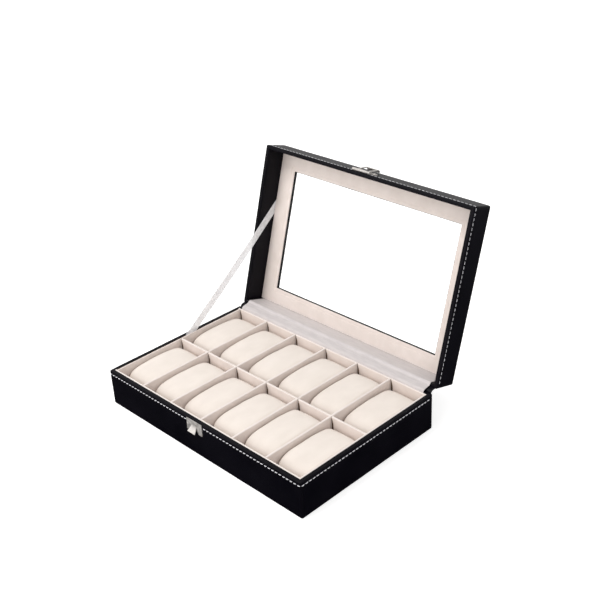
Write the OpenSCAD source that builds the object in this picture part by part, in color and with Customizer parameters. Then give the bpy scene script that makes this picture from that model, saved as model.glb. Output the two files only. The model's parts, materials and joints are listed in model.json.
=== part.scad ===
// Watch box: a leather-covered case with twelve pillow cells and a hinged lid with a glass window.
// Origin at the centre of the underside, +X to the right, -Y to the front, +Z up.
// Lid pieces are drawn shut and then turned about the hinge, so they stand open.

/* [Box] */
// Outer width, left to right
box_w = 300; // [285:1:315]
// Outer depth, front to back
box_d = 196; // [190:1:202]
// Height of the base
base_h = 42.5; // [42:0.5:46]
// Height of the lid
lid_h = 29.5; // [29:0.5:32]
// Radius of the upright corners
corner_r = 2; // [1.5:0.5:3]
// Gap between the two rims when the lid is shut
rim_gap = 0.3; // [0.3:0.1:0.6]

/* [Walls] */
// Thickness of the leather skin
leather_t = 0.8; // [0.6:0.1:1]
// Thickness of the base's wall boards
base_board_t = 3.8; // [3.4:0.1:4]
// Thickness of the lid's wall boards
lid_board_t = 3.2; // [2.8:0.1:3.4]
// Thickness of the leather turned down inside the lid's walls
lid_turn_t = 0.6; // [0.4:0.1:0.8]
// Thickness of the base's floor board
floor_board_t = 3; // [2:0.5:4]
// Thickness of the velour-covered cards along the walls
lining_t = 2; // [1.5:0.1:2.5]
// Thickness of the velour-covered card on the floor
floor_lining_t = 1.2; // [1:0.1:2]

/* [Cells] */
// Thickness of the dividers
divider_t = 2.6; // [2:0.1:3]
// Drop of the dividers' top edges below the base's rim
divider_drop = 0.3; // [0:0.1:3]
// Drop of the left lining's top edge below the base's rim
left_lining_drop = 0.8; // [0:0.1:2]

/* [Pillows] */
// Width of a pillow, along the row
pillow_w = 42.5; // [38:0.5:43.5]
// Length of a pillow, front to back
pillow_l = 79; // [74:0.5:82]
// Height of a pillow
pillow_h = 34; // [33.5:0.5:38]
// Radius of a pillow's upper front edge
pillow_front_r = 16.5; // [12:0.5:16.5]
// Radius of a pillow's upper back edge
pillow_back_r = 8; // [4:0.5:10]
// Radius of a pillow's lower edges
pillow_foot_r = 10; // [6:0.5:11]
// Lift of a pillow over the floor card
pillow_lift = 0.3; // [0.3:0.1:1]
// Gap behind a front pillow, to the long divider
front_row_gap = 1.8; // [0.8:0.1:3]
// Gap behind a back pillow, to the lining
back_row_gap = 1.8; // [0.8:0.1:3]

/* [Lid window] */
// Width of the opening in the lid's top
window_w = 242.5; // [230:0.5:246]
// Depth of the opening in the lid's top
window_d = 144; // [136:1:150]
// Place of the opening's centre, behind the box's centre
window_y = 1; // [0:0.5:3]
// Distance from the lid's rim to the face of the inner panel
panel_depth = 25; // [23:0.5:25]
// Thickness of the inner panel
panel_t = 1.5; // [1.2:0.1:1.6]
// How far the panel's opening clears the top opening at each side and at front and back
panel_margin = [1.4, 0.8];
// Thickness of the glass
glass_t = 1; // [0.8:0.1:1.2]
// Thickness of the leather turned in between the window board and the glass
window_turn_t = 0.4; // [0.2:0.1:0.4]
// How far the glass runs past the opening all round
glass_lap = 5; // [3:0.5:8]

/* [Hinge] */
// Angle between the shut lid and the open lid
open_angle = 106.5; // [95:0.5:110]
// Distance of the turning line behind the back wall
pivot_back = 3.8; // [3.6:0.1:5]
// Distance of the turning line below the middle of the gap between the rims
pivot_drop = 1; // [0:0.1:1]
// Width of the leather hinge strip
hinge_strip_w = 296; // [270:1:296]
// How far the leather hinge strip is glued down the base and the lid
hinge_lap = 12; // [8:0.5:14]
// Width of the satin strip that covers the hinge inside
satin_w = 282; // [260:1:288]
// Thickness of the satin and of the stay ribbon
satin_t = 0.3; // [0.2:0.05:0.3]
// How far the satin strip is tucked behind the lining
satin_tuck = 8; // [5:0.5:12]

/* [Stay ribbon] */
// Width of the ribbon
ribbon_w = 10; // [8:0.5:12]
// Place of its lower end along the base's rim
ribbon_base_y = 16; // [10:1:20]
// Place of its upper end along the lid's side, counted as if the lid were shut
ribbon_lid_y = -23; // [-25:1:-10]

/* [Clasp] */
// Centre of the clasp along the front
clasp_x = -3; // [-3:0.5:3]
// Thickness of the nickel sheet
sheet_t = 0.8; // [0.6:0.1:0.8]
// Width and height of the catch plate
catch_size = [23.6, 13.7];
// Drop of the catch plate's top edge below the base's rim
catch_drop = 0.9; // [0.5:0.1:1.5]
// How far the catch tongue stands out at its tip
tongue_reach = 5; // [4.5:0.1:5.2]
// Width of the hasp flap
flap_w = 18; // [17:0.5:18]
// Length of the hasp flap, from its pin to its lip
flap_l = 20.8; // [20:0.1:22]
// Radius of the hasp pin
pin_r = 0.8; // [0.7:0.05:0.8]
// Radius of the hasp knuckles
knuckle_r = 1.6; // [1.5:0.05:1.8]
// Angle that the flap turns through, from hanging to folded back
flap_angle = 173; // [160:1:173]

/* [Hidden] */
$fn = 48;

leather_color = [0.07, 0.06, 0.08];
board_color = [0.62, 0.50, 0.38];
velour_color = [0.88, 0.82, 0.77];
pillow_color = [0.97, 0.92, 0.87];
satin_color = [0.84, 0.81, 0.80];
ribbon_color = [0.93, 0.93, 0.94];
nickel_color = [0.80, 0.79, 0.77];
glass_color = [0.85, 0.92, 0.95, 0.35];
felt_color = [0.10, 0.10, 0.11];

columns = 6;
half_w = box_w / 2;
half_d = box_d / 2;
felt_half = [half_w - 3, half_d - 3];
strip_gap = 0.1;
// How far outside the lid's rim a strip lines up with the lid's wall
lead_in = 0.5;

// Inner faces of the base: its boards, then its linings
board_in = [half_w - leather_t - base_board_t, half_d - leather_t - base_board_t];
cell_in = [board_in[0] - lining_t, board_in[1] - lining_t];
floor_z = leather_t + floor_board_t;
cell_z = floor_z + floor_lining_t;
divider_z = base_h - divider_drop;
lap_z = (cell_z + divider_z) / 2;
column_pitch = (2 * cell_in[0] + divider_t) / columns;

// The shut lid
rim_z = base_h + rim_gap;
lid_top_z = rim_z + lid_h;
board_top_z = lid_top_z - leather_t;
panel_z = rim_z + panel_depth;
glass_z = panel_z + panel_t;
glass_top_z = glass_z + glass_t;
lid_board_in = [half_w - leather_t - lid_board_t, half_d - leather_t - lid_board_t];
lid_in = [lid_board_in[0] - lid_turn_t, lid_board_in[1] - lid_turn_t];
panel_gap = satin_t + strip_gap;
glass_half = [window_w / 2 + glass_lap, window_d / 2 + glass_lap];

// The hinge line
pivot = [half_d + pivot_back, base_h + rim_gap / 2 - pivot_drop];

// The hasp, with the lid shut and the flap hanging
hasp_y = -half_d - sheet_t;
pin_at = [hasp_y - 0.8, rim_z + 2.6];
hasp_cut_z = pin_at[1] + knuckle_r + 0.4;
hasp_top_z = rim_z + 13.7;
knuckle_gap = 0.3;
knuckle_l = 3.1;
ear_x = 14;
ear_z = rim_z + 9.2;
catch_top_z = base_h - catch_drop;
catch_nail_x = 10.4;
catch_nail_z = catch_top_z - catch_size[1] / 2;
nail_r = 0.6;
nail_l = 5;
loop_half_w = flap_w / 2 - 2.2;
loop_z = [pin_at[1] - 16.9, pin_at[1] - 3.9];
pin_clearance = 0.08;

// Where a point (y, z) of the shut lid comes to when the lid is open
function opened(p) =
    let (c = cos(open_angle), s = sin(open_angle), y = p[0] - pivot[0], z = p[1] - pivot[1])
    [pivot[0] + y * c + z * s, pivot[1] - y * s + z * c];

// Points along a cubic curve
function curve(a, b, c, d, steps = 10) =
    [for (i = [0:steps]) let (t = i / steps, u = 1 - t)
        u * u * u * a + 3 * u * u * t * b + 3 * u * t * t * c + t * t * t * d];

// One side of a strip whose centre line is path, at a distance of offset
function strip_side(path, offset) =
    [for (i = [0:len(path) - 1])
        let (d = path[min(i + 1, len(path) - 1)] - path[max(i - 1, 0)])
        path[i] + offset * [-d[1], d[0]] / norm(d)];

// Place of the i-th cross divider
function divider_x(i) = (i - columns / 2) * column_pitch;

function reversed(list) = [for (i = [len(list) - 1:-1:0]) list[i]];

function strip_outline(path, thickness) =
    concat(strip_side(path, thickness / 2), reversed(strip_side(path, -thickness / 2)));

module block(low, high) {
    translate(low) cube(high - low);
}

module round_rect(w, d, r) {
    square([w - 2 * r, d], center = true);
    square([w, d - 2 * r], center = true);
    for (x = [-1, 1], y = [-1, 1])
        translate([x * (w / 2 - r), y * (d / 2 - r)]) circle(r);
}

// A rectangle with its own radius at each corner, anticlockwise from the lower left
module soft_rect(w, d, radii) {
    corners = [[-1, -1], [1, -1], [1, 1], [-1, 1]];
    polygon([
        for (i = [0:3])
            let (c = corners[i], along = [c[0] * (w / 2 - radii[i]), c[1] * d / 2],
                 up = [c[0] * w / 2, c[1] * (d / 2 - radii[i])])
            each (i % 2 == 0 ? [up, along] : [along, up])
    ]);
    for (i = [0:3])
        translate([corners[i][0] * (w / 2 - radii[i]), corners[i][1] * (d / 2 - radii[i])])
            circle(radii[i]);
}

// A slab or a ring of the box's outline, between two heights
module outline_slab(z0, z1, inset = 0) {
    translate([0, 0, z0])
        linear_extrude(z1 - z0)
            round_rect(box_w - 2 * inset, box_d - 2 * inset, corner_r - min(inset, corner_r - 0.5));
}

module rect_ring(z0, z1, outer, inner, y = 0) {
    difference() {
        block([-outer[0], y - outer[1], z0], [outer[0], y + outer[1], z1]);
        block([-inner[0], y - inner[1], z0 - 1], [inner[0], y + inner[1], z1 + 1]);
    }
}

// A flat (y, z) outline drawn out along X
module along_x(x0, x1) {
    translate([x0, 0, 0]) rotate([90, 0, 90]) linear_extrude(x1 - x0) children();
}

module on_lid() {
    translate([0, pivot[0], pivot[1]])
        rotate([-open_angle, 0, 0])
            translate([0, -pivot[0], -pivot[1]])
                children();
}

module on_flap() {
    on_lid()
        translate([0, pin_at[0], pin_at[1]])
            rotate([-flap_angle, 0, 0])
                translate([0, -pin_at[0], -pin_at[1]])
                    children();
}

// The room that the hinge strip takes in the back skin
module hinge_room(z0, z1) {
    block([-hinge_strip_w / 2, half_d - leather_t, z0], [hinge_strip_w / 2, half_d + 1, z1]);
}

module underside_sheet() {
    color(felt_color)
        block([-felt_half[0], -felt_half[1], 0], [felt_half[0], felt_half[1], leather_t]);
}

module base_floor_board() {
    color(board_color)
        block([-board_in[0], -board_in[1], leather_t], [board_in[0], board_in[1], floor_z]);
}

// The front (-1) or back (1) wall board of the base
module base_long_board(side) {
    color(board_color)
        intersection() {
            outline_slab(leather_t, base_h - leather_t, leather_t);
            translate([0, side * (board_in[1] + half_d) / 2, base_h / 2])
                cube([box_w, half_d - board_in[1], base_h], center = true);
        }
}

// The left (-1) or right (1) wall board of the base
module base_side_board(side) {
    x = side * (board_in[0] + base_board_t / 2);
    color(board_color)
        translate([x, 0, base_h / 2])
            cube([base_board_t, 2 * board_in[1], base_h - 2 * leather_t], center = true);
}

module base_leather() {
    color(leather_color)
        difference() {
            outline_slab(0, base_h);
            outline_slab(leather_t, base_h - leather_t, leather_t);
            block([-board_in[0], -board_in[1], leather_t], [board_in[0], board_in[1], base_h + 1]);
            block([-felt_half[0], -felt_half[1], -1], [felt_half[0], felt_half[1], leather_t]);
            hinge_room(base_h - hinge_lap, base_h + 1);
        }
}

module lining_floor() {
    color(velour_color)
        block([-board_in[0], -board_in[1], floor_z], [board_in[0], board_in[1], cell_z]);
}

// The front (-1) or back (1) lining; the back one leaves room for the tucked satin strip
module lining_long(side) {
    color(velour_color)
        difference() {
            translate([0, side * (cell_in[1] + lining_t / 2), (cell_z + base_h) / 2])
                cube([2 * board_in[0], lining_t, base_h - cell_z], center = true);
            if (side > 0)
                block([-satin_w / 2 - strip_gap, board_in[1] - panel_gap, base_h - satin_tuck - strip_gap],
                      [satin_w / 2 + strip_gap, board_in[1] + 1, base_h + 1]);
        }
}

// The left (-1) or right (1) lining; the left one leaves room for the ribbon's tail
module lining_side(side) {
    color(velour_color)
        difference() {
            translate([side * (cell_in[0] + lining_t / 2), 0, (cell_z + base_h) / 2])
                cube([lining_t, 2 * cell_in[1], base_h - cell_z], center = true);
            if (side < 0)
                block([-board_in[0] - 1, -cell_in[1] - 1, base_h - left_lining_drop],
                      [-cell_in[0] + 1, cell_in[1] + 1, base_h + 1]);
            if (side < 0)
                block([-board_in[0] - 1, ribbon_base_y - 2 * ribbon_w, base_h - satin_tuck - strip_gap],
                      [-board_in[0] + panel_gap, ribbon_base_y + ribbon_w, base_h + 1]);
        }
}

module long_divider() {
    color(velour_color)
        difference() {
            block([-cell_in[0], -divider_t / 2, cell_z], [cell_in[0], divider_t / 2, divider_z]);
            for (i = [1:columns - 1])
                block([divider_x(i) - divider_t / 2, -divider_t, cell_z - 1],
                      [divider_x(i) + divider_t / 2, divider_t, lap_z]);
        }
}

module cross_divider(i) {
    color(velour_color)
        difference() {
            block([divider_x(i) - divider_t / 2, -cell_in[1], cell_z],
                  [divider_x(i) + divider_t / 2, cell_in[1], divider_z]);
            block([divider_x(i) - divider_t, -divider_t / 2, lap_z],
                  [divider_x(i) + divider_t, divider_t / 2, divider_z + 1]);
        }
}

// Pillows 1 to 6 fill the front row from the left, 7 to 12 the back row
module pillow(number) {
    column = (number - 1) % columns;
    back = number > columns;
    x = (column - (columns - 1) / 2) * column_pitch;
    y_end = back ? cell_in[1] - back_row_gap : -divider_t / 2 - front_row_gap;
    color(pillow_color)
        translate([0, y_end - pillow_l / 2, cell_z + pillow_lift + pillow_h / 2])
            along_x(x - pillow_w / 2, x + pillow_w / 2)
                soft_rect(pillow_l, pillow_h, [pillow_foot_r, pillow_foot_r, pillow_back_r, pillow_front_r]);
}

module catch_plate() {
    x0 = clasp_x - catch_size[0] / 2;
    x1 = clasp_x + catch_size[0] / 2;
    low_z = catch_top_z - catch_size[1];
    // The tongue is cut free of the plate on three sides and bent out, narrow at its root
    tongue_root = [2.2, catch_top_z - 3];
    tongue_tip = [6.2, low_z + 2];
    centre_line = curve([hasp_y + sheet_t / 2, tongue_root[1]],
                        [hasp_y + sheet_t / 4, tongue_root[1] - 4],
                        [hasp_y - tongue_reach * 0.45, tongue_tip[1] + 3],
                        [hasp_y - tongue_reach + sheet_t / 2, tongue_tip[1]]);
    color(nickel_color) {
        difference() {
            block([x0, hasp_y, low_z], [x1, -half_d, catch_top_z]);
            wall_cut(tongue_root[0] + 0.3, tongue_root[1] - 1.5, tongue_tip[0] + 0.3, low_z - 1);
            for (x = [-catch_nail_x, catch_nail_x])
                translate([clasp_x + x, -half_d + 1, catch_nail_z])
                    rotate([90, 0, 0]) cylinder(r = nail_r, h = 5);
        }
        intersection() {
            along_x(clasp_x - tongue_tip[0], clasp_x + tongue_tip[0])
                polygon(strip_outline(centre_line, sheet_t));
            wall_cut(tongue_root[0], tongue_root[1] + 1, tongue_tip[0], tongue_tip[1] - 1);
        }
    }
}

// A trapezoid on the clasp's centre line, from in front of the box through to its front wall
module wall_cut(top_half, top_z, low_half, low_z) {
    translate([clasp_x, -half_d + 1, 0])
        rotate([90, 0, 0])
            linear_extrude(12)
                polygon([[-top_half, top_z], [top_half, top_z], [low_half, low_z], [-low_half, low_z]]);
}

// A nail driven into the front wall, its head resting on sheet metal
module nail(x, z, head_r, head_h) {
    translate([x, hasp_y, z])
        rotate([90, 0, 0]) {
            cylinder(r1 = head_r, r2 = head_r * 0.6, h = head_h);
            translate([0, 0, -nail_l]) cylinder(r = nail_r, h = nail_l);
        }
}

module catch_nails() {
    color(nickel_color)
        for (x = [-catch_nail_x, catch_nail_x])
            nail(clasp_x + x, catch_nail_z, 1, 0.5);
}

// The front (-1) or back (1) wall board of the lid
module lid_long_board(side) {
    color(board_color)
        on_lid()
            intersection() {
                outline_slab(rim_z + leather_t, board_top_z, leather_t);
                translate([0, side * (lid_board_in[1] + half_d) / 2, rim_z + lid_h / 2])
                    cube([box_w, half_d - lid_board_in[1], lid_h], center = true);
            }
}

// The left (-1) or right (1) wall board of the lid
module lid_side_board(side) {
    x = side * (lid_board_in[0] + lid_board_t / 2);
    color(board_color)
        on_lid()
            translate([x, 0, rim_z + lid_h / 2])
                cube([lid_board_t, 2 * lid_board_in[1], lid_h - 2 * leather_t], center = true);
}

// The board round the window, rebated from below for the glass
module lid_top_frame() {
    opening = [window_w / 2 + leather_t, window_d / 2 + leather_t];
    color(board_color)
        on_lid()
            difference() {
                block([-lid_board_in[0], -lid_board_in[1], glass_z],
                      [lid_board_in[0], lid_board_in[1], board_top_z]);
                block([-opening[0], window_y - opening[1], glass_z - 1],
                      [opening[0], window_y + opening[1], board_top_z + 1]);
                block([-glass_half[0], window_y - glass_half[1], glass_z - 1],
                      [glass_half[0], window_y + glass_half[1], glass_top_z + window_turn_t]);
            }
}

module lid_leather() {
    opening = [window_w / 2, window_d / 2];
    cut_edge = [opening[0] + leather_t, opening[1] + leather_t];
    color(leather_color)
        on_lid() {
            difference() {
                outline_slab(rim_z, lid_top_z);
                outline_slab(rim_z + leather_t, board_top_z, leather_t);
                block([-lid_in[0], -lid_in[1], rim_z - 1], [lid_in[0], lid_in[1], board_top_z]);
                block([-opening[0], window_y - opening[1], board_top_z - 1],
                      [opening[0], window_y + opening[1], lid_top_z + 1]);
                hinge_room(rim_z - 1, rim_z + hinge_lap);
            }
            rect_ring(rim_z, glass_z, lid_board_in, lid_in);
            rect_ring(glass_top_z, board_top_z, cut_edge, opening, window_y);
            rect_ring(glass_top_z, glass_top_z + window_turn_t, glass_half, opening, window_y);
        }
}

module window_glass() {
    color(glass_color)
        on_lid()
            block([-glass_half[0], window_y - glass_half[1], glass_z],
                  [glass_half[0], window_y + glass_half[1], glass_top_z]);
}

module lid_inner_panel() {
    outer = [lid_in[0] - panel_gap, lid_in[1] - panel_gap];
    opening = [window_w / 2 + panel_margin[0], window_d / 2 + panel_margin[1]];
    color(velour_color)
        on_lid()
            difference() {
                block([-outer[0], -outer[1], panel_z], [outer[0], outer[1], glass_z]);
                block([-opening[0], window_y - opening[1], panel_z - 1],
                      [opening[0], window_y + opening[1], glass_z + 1]);
            }
}

module hasp_plate() {
    half = flap_w / 2 + knuckle_gap + knuckle_l;
    knuckle_x = half - knuckle_l / 2;
    color(nickel_color)
        on_lid()
            translate([clasp_x, 0, 0])
                difference() {
                    union() {
                        block([-half, hasp_y, hasp_cut_z], [half, -half_d, hasp_top_z]);
                        for (side = [-1, 1]) {
                            translate([side * ear_x, -half_d, ear_z])
                                rotate([90, 0, 0]) cylinder(r = 3.2, h = sheet_t);
                            translate([side * knuckle_x, (hasp_y - half_d) / 2, hasp_cut_z - 1])
                                cube([knuckle_l, sheet_t, 3], center = true);
                            translate([side * knuckle_x, pin_at[0], pin_at[1]])
                                rotate([0, 90, 0]) cylinder(r = knuckle_r, h = knuckle_l, center = true);
                        }
                    }
                    translate([0, pin_at[0], pin_at[1]])
                        rotate([0, 90, 0]) cylinder(r = pin_r, h = 3 * half, center = true);
                    for (side = [-1, 1])
                        translate([side * ear_x, -half_d + 1, ear_z])
                            rotate([90, 0, 0]) cylinder(r = nail_r, h = 5);
                }
}

module hasp_nails() {
    color(nickel_color)
        on_lid()
            for (x = [-ear_x, ear_x])
                nail(clasp_x + x, ear_z, 1.7, 0.8);
}

module hasp_pin() {
    color(nickel_color)
        on_lid()
            translate([clasp_x, pin_at[0], pin_at[1]])
                rotate([0, 90, 0])
                    cylinder(r = pin_r, h = flap_w + 2 * (knuckle_gap + knuckle_l) + 0.8, center = true);
}

// A loop that drops over the catch tongue, with a lip to lift it by
module hasp_flap() {
    sheet_y = pin_at[0] + 0.1;
    lip_z = pin_at[1] - flap_l;
    centre_line = concat([[sheet_y, pin_at[1] - 0.6]],
                         curve([sheet_y, lip_z + 3], [sheet_y, lip_z + 1],
                               [sheet_y - 1.3, lip_z + 0.3], [sheet_y - 3.2, lip_z + 0.2]));
    color(nickel_color)
        on_flap()
            translate([clasp_x, 0, 0])
                difference() {
                    union() {
                        translate([0, pin_at[0], pin_at[1]])
                            rotate([0, 90, 0]) cylinder(r = knuckle_r, h = flap_w, center = true);
                        along_x(-flap_w / 2, flap_w / 2) polygon(strip_outline(centre_line, sheet_t));
                    }
                    block([-loop_half_w, pin_at[0] - 2, loop_z[0]],
                          [loop_half_w, pin_at[0] + 2, loop_z[1]]);
                    translate([0, pin_at[0], pin_at[1]])
                        rotate([0, 90, 0])
                            cylinder(r = pin_r + pin_clearance, h = 2 * flap_w, center = true);
                }
}

// Leather strip across the outside of the hinge, let into both back skins
module hinge_leather() {
    thickness = leather_t - strip_gap;
    y = half_d - thickness / 2;
    leave = [y, base_h];
    arrive = opened([y, rim_z - lead_in]);
    along_lid = opened([y, rim_z - lead_in + 1]) - arrive;
    centre_line = concat([[y, base_h - hinge_lap + strip_gap]],
                         curve(leave, leave + [0, 2.3], arrive - 3 * along_lid, arrive),
                         [arrive + (hinge_lap + lead_in - strip_gap) * along_lid]);
    color(leather_color)
        along_x(-hinge_strip_w / 2, hinge_strip_w / 2)
            polygon(strip_outline(centre_line, thickness));
}

// Satin strip inside the hinge, tucked behind the back lining and behind the lid's panel
module hinge_satin() {
    y = board_in[1] - panel_gap / 2;
    lid_y = lid_in[1] - panel_gap / 2;
    leave = [y, base_h];
    arrive = opened([lid_y, rim_z - lead_in]);
    centre_line = concat([leave - [0, satin_tuck]],
                         curve(leave, leave + [1, 5], arrive - [5.1, 4.2], arrive),
                         [opened([lid_y, rim_z + 0.6]), opened([lid_y, glass_z - 0.2])]);
    color(satin_color)
        along_x(-satin_w / 2, satin_w / 2)
            polygon(strip_outline(centre_line, satin_t));
}

// Ribbon that stops the lid, along the left side from the base's lining to the lid's panel
module stay_ribbon() {
    low = [ribbon_base_y, base_h];
    high = opened([ribbon_lid_y, panel_z]);
    run = high - low;
    slope = atan2(run[1], run[0]);
    x = -board_in[0] + panel_gap / 2;
    color(ribbon_color)
        intersection() {
            translate([x, low[0], low[1]])
                rotate([slope, 0, 0])
                    translate([0, norm(run) / 2, 0])
                        cube([satin_t, norm(run) + 6 * ribbon_w, ribbon_w], center = true);
            block([-half_w, -half_d, base_h - satin_tuck], [0, 2 * half_d, box_d * 2]);
            on_lid()
                block([-half_w, -box_d, -box_d], [0, 2 * box_d, glass_z - 0.2]);
        }
}

underside_sheet();
base_floor_board();
base_long_board(-1);  // base_front_board
base_long_board(1);  // base_back_board
base_side_board(-1);  // base_left_board
base_side_board(1);  // base_right_board
base_leather();
lining_floor();
lining_long(-1);  // lining_front
lining_long(1);  // lining_back
lining_side(-1);  // lining_left
lining_side(1);  // lining_right
long_divider();
cross_divider(1);  // cross_divider_1
cross_divider(2);  // cross_divider_2
cross_divider(3);  // cross_divider_3
cross_divider(4);  // cross_divider_4
cross_divider(5);  // cross_divider_5
pillow(1);  // pillow_01
pillow(2);  // pillow_02
pillow(3);  // pillow_03
pillow(4);  // pillow_04
pillow(5);  // pillow_05
pillow(6);  // pillow_06
pillow(7);  // pillow_07
pillow(8);  // pillow_08
pillow(9);  // pillow_09
pillow(10);  // pillow_10
pillow(11);  // pillow_11
pillow(12);  // pillow_12
catch_plate();
catch_nails();
lid_long_board(-1);  // lid_front_board
lid_long_board(1);  // lid_back_board
lid_side_board(-1);  // lid_left_board
lid_side_board(1);  // lid_right_board
lid_top_frame();
lid_leather();
window_glass();
lid_inner_panel();
hasp_plate();
hasp_nails();
hasp_pin();
hasp_flap();
hinge_leather();
hinge_satin();
stay_ribbon();
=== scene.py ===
"""Looks of the watch box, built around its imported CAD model. Metres, in the CAD's frame."""

import json
import math

import bmesh
import bpy
import numpy as np
from mathutils import Matrix, Vector, noise


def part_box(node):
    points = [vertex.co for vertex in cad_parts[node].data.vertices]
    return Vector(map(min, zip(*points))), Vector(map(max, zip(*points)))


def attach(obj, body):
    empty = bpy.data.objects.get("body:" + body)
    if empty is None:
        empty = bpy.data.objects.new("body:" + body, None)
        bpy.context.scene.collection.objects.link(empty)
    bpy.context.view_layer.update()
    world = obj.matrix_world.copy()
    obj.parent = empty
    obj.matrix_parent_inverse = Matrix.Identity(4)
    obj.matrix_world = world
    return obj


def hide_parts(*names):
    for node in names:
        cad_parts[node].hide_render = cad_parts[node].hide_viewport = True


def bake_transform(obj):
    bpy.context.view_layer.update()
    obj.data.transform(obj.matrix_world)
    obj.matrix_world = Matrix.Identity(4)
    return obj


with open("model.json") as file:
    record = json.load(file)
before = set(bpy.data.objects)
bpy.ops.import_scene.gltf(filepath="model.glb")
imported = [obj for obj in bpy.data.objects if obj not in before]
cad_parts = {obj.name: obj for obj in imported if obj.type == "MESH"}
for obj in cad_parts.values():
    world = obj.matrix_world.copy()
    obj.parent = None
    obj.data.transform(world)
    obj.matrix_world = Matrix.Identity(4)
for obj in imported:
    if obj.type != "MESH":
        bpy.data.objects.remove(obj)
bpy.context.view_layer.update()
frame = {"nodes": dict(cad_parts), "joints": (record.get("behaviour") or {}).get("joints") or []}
scene = bpy.context.scene
MM = 0.001

# Where the hinge stands, and how a point of the shut lid comes to the open lid
hinge = next(joint for joint in frame["joints"] if joint["name"] == "lid_hinge")
pivot = Vector(hinge["pos_m"])
open_angle = math.radians(-min(hinge["range_deg"]))
OPEN = (
    Matrix.Translation(pivot)
    @ Matrix.Rotation(open_angle, 4, Vector(hinge["axis"]))
    @ Matrix.Translation(-pivot)
)
SHUT = OPEN.inverted()


def shut_box(node):
    """Lowest and highest corners of a lid node, turned back to the shut lid."""
    points = [SHUT @ vertex.co for vertex in frame["nodes"][node].data.vertices]
    co = np.array(points)
    return Vector(co.min(0)), Vector(co.max(0))


base_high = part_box("base_leather")[1]
HALF_W = base_high.x
HALF_D = base_high.y
BASE_H = base_high.z
# The lining's outer corner, and the height of the cells' floor
BOARD_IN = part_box("lining_floor")[1]
CELL_Z = BOARD_IN.z
DIVIDER_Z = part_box("long_divider")[1].z
RIM_Z = shut_box("lid_leather")[0].z
LID_TOP_Z = shut_box("lid_leather")[1].z
LID_BOARD_IN = shut_box("lid_top_frame")[1]
PANEL_LOW, PANEL_HIGH = shut_box("lid_inner_panel")
GLASS_LOW, GLASS_HIGH = shut_box("window_glass")
CLASP_X = sum(corner.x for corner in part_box("catch_plate")) / 2

LEATHER_T = 0.8 * MM
CORNER_R = 2 * MM
LEAST_R = 0.3 * MM
LID_TURN_T = 0.6 * MM
WINDOW_TURN_T = 0.4 * MM
STITCH_DROP = 4 * MM
LID_STITCH_DROP = 3 * MM
HINGE_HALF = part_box("hinge_leather")[1].x
HINGE_LAP = BASE_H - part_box("hinge_leather")[0].z
WINDOW_HALF = (121.25 * MM, 72 * MM)
WINDOW_Y = (GLASS_LOW.y + GLASS_HIGH.y) / 2


# ---------------------------------------------------------------- camera, light and floor


CAMERA_AT = (0.6863, -0.5973, 0.6266)
# Yaw, pitch and roll in degrees
CAMERA_TURN = (-46.2, -28.32, -2.99)
SENSOR_MM = 36
LENS_MM = 59.53


def build_camera():
    yaw, pitch, roll = (math.radians(part) for part in CAMERA_TURN)
    forward = Vector(
        (
            math.sin(yaw) * math.cos(pitch),
            math.cos(yaw) * math.cos(pitch),
            math.sin(pitch),
        )
    )
    level = Vector((math.cos(yaw), -math.sin(yaw), 0))
    above = level.cross(forward)
    right = level * math.cos(roll) + above * math.sin(roll)
    up = above * math.cos(roll) - level * math.sin(roll)
    lens = bpy.data.cameras.new("camera")
    lens.sensor_width = SENSOR_MM
    lens.lens = LENS_MM
    camera = bpy.data.objects.new("camera", lens)
    scene.collection.objects.link(camera)
    turn = Matrix((right, up, -forward)).transposed().to_4x4()
    camera.matrix_world = Matrix.Translation(CAMERA_AT) @ turn
    scene.camera = camera


ROOM_LIGHT = 0.7
LIGHT_TARGET = (0, 0, 0.05)
# The room's ground and horizon as (height on a scale from 0 below to 1 above, colour)
GROUND_DARK = (0.25, (0.01, 0.01, 0.012, 1))
GROUND_LIGHT = (0.46, (1, 0.99, 0.985, 1))
# Area lights as (name, place, size, watts, colour)
LIGHTS = (
    ("key_light", (-0.32, -0.55, 1.6), (0.6, 0.6), 10.3, (1, 0.985, 0.965)),
    ("right_fill", (1.6, -0.5, 1.1), (1.2, 1.0), 2.4, (1, 0.985, 0.97)),
    ("front_fill", (-0.9, -1.6, 0.9), (1.4, 0.9), 8, (1, 0.985, 0.975)),
)


def area_light(name, place, size, power, colour):
    data = bpy.data.lights.new(name, "AREA")
    data.shape = "RECTANGLE"
    data.size, data.size_y = size
    data.energy = power
    data.color = colour
    light = bpy.data.objects.new(name, data)
    scene.collection.objects.link(light)
    light.location = place
    aim = Vector(LIGHT_TARGET) - Vector(place)
    light.rotation_euler = aim.to_track_quat("-Z", "Y").to_euler()


def build_light():
    """A white room over a dark ground, a key light above and to the left, and soft fill."""
    world = bpy.data.worlds.new("studio")
    world.use_nodes = True
    tree = world.node_tree
    background = tree.nodes["Background"]
    background.inputs["Strength"].default_value = ROOM_LIGHT
    direction = tree.nodes.new("ShaderNodeTexCoord").outputs["Generated"]
    height = tree.nodes.new("ShaderNodeSeparateXYZ")
    tree.links.new(direction, height.inputs[0])
    shift = tree.nodes.new("ShaderNodeMapRange")
    shift.inputs[1].default_value = -1
    ramp = tree.nodes.new("ShaderNodeValToRGB")
    tree.links.new(ramp.outputs[0], background.inputs["Color"])
    tree.links.new(height.outputs["Z"], shift.inputs[0])
    tree.links.new(shift.outputs[0], ramp.inputs[0])
    low, high = ramp.color_ramp.elements
    low.position, low.color = GROUND_DARK
    high.position, high.color = GROUND_LIGHT
    scene.world = world
    for light in LIGHTS:
        area_light(*light)
    scene.view_settings.view_transform = "Standard"


# ---------------------------------------------------------------- materials


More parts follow.
